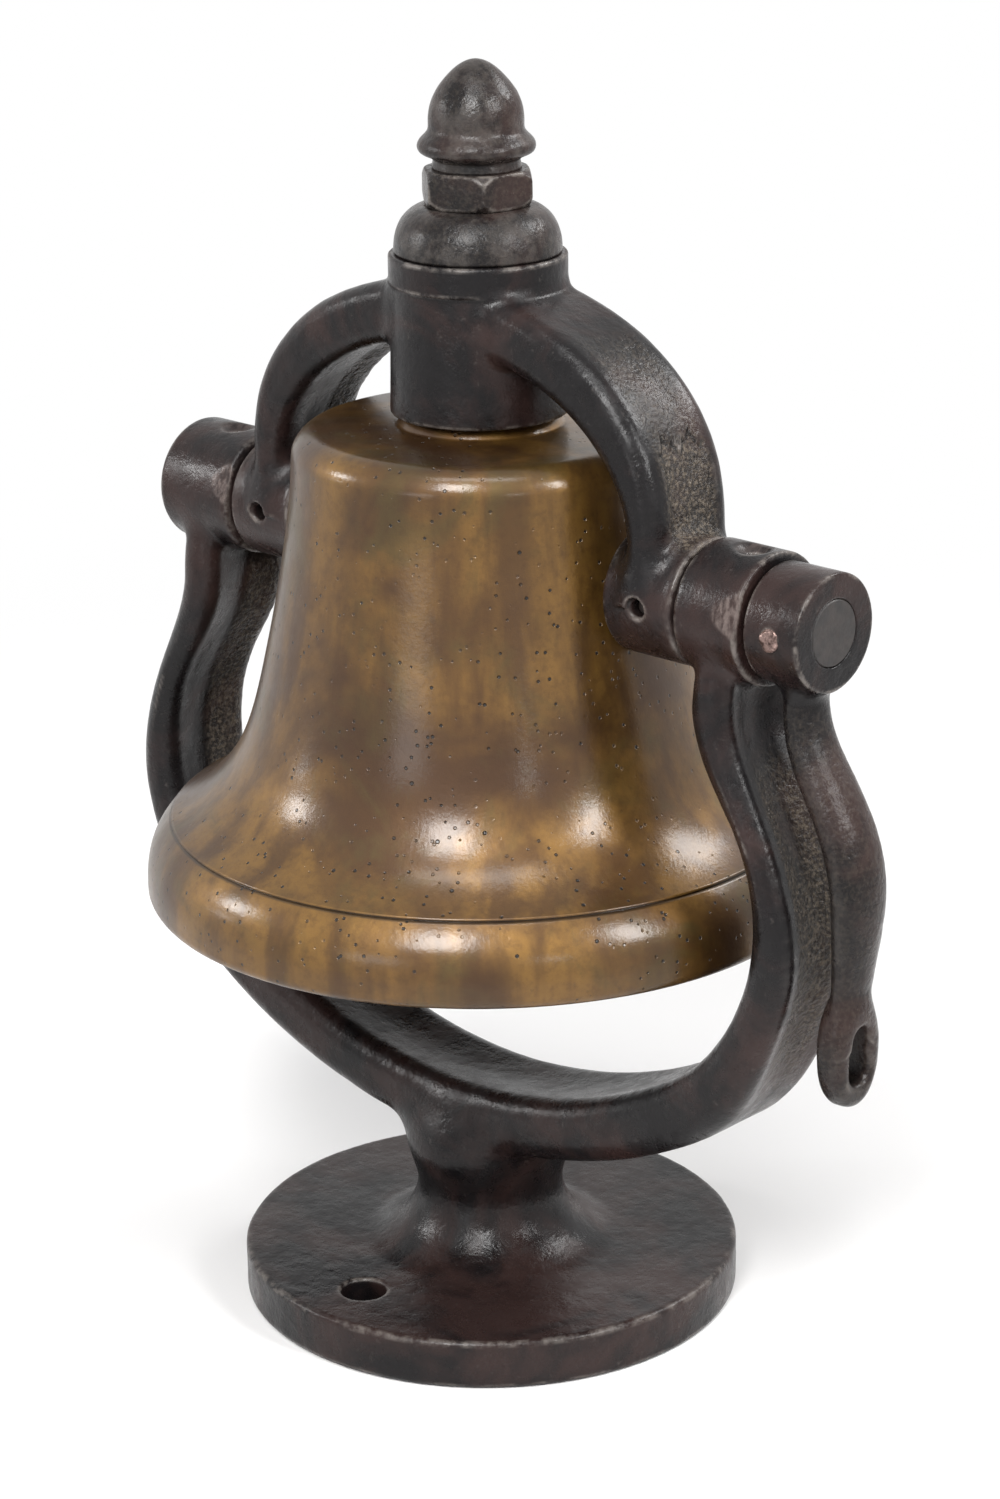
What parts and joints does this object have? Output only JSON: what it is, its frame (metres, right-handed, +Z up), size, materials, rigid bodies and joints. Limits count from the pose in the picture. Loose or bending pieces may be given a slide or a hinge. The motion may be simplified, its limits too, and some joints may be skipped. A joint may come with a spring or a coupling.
{
  "type": "locomotive bell",
  "caption": "Bronze locomotive bell hung in a cast-iron yoke that swings in a forked stand with a round foot, with a side crank for a pull rod and a clapper inside.",
  "frame": {"origin": "centre of the underside of the round foot, on the surface that it stands on", "axes": "+Z up through the bell, +X along the trunnion axis towards the crank, +Y towards the back"},
  "size_m": [0.3551, 0.254, 0.4723],
  "materials": {
    "cast_iron": "dark satin paint worn through on the edges, rough cast between smooth rims",
    "bell_bronze": "old polish with small dark pits",
    "bush_bronze": "oiled",
    "steel": "dull, oiled",
    "leather": "dark and pressed flat"
  },
  "bodies": {
    "stand": {"stand": "cast_iron", "left_bearing_bush": "bush_bronze", "right_bearing_bush": "bush_bronze"},
    "bell_and_yoke": {"yoke": "cast_iron", "left_trunnion_pin": "steel", "right_trunnion_shaft": "steel", "left_yoke_pin": "steel", "right_yoke_pin": "steel", "crank_arm": "cast_iron", "crank_pin": "steel", "bell": "bell_bronze", "crown_gasket": "leather", "inner_crown_washer": "steel", "dome_washer": "cast_iron", "hex_nut": "steel", "acorn_nut": "cast_iron", "bell_bolt": "steel", "clapper_pivot_pin": "steel", "clapper_split_pin": "steel"},
    "clapper": {"clapper_rod": "steel", "clapper_ball": "cast_iron", "clapper_ball_nut": "steel"}
  },
  "joints": [
    {"name": "bell_swing", "type": "hinge", "parent": "stand", "child": "bell_and_yoke", "pos_m": [0, 0, 0.295], "axis": [1, 0, 0], "continuous": true},
    {"name": "clapper_swing", "type": "hinge", "parent": "bell_and_yoke", "child": "clapper", "pos_m": [0, 0, 0.307], "axis": [1, 0, 0], "range_deg": [-33.5, 33.5]}
  ]
}
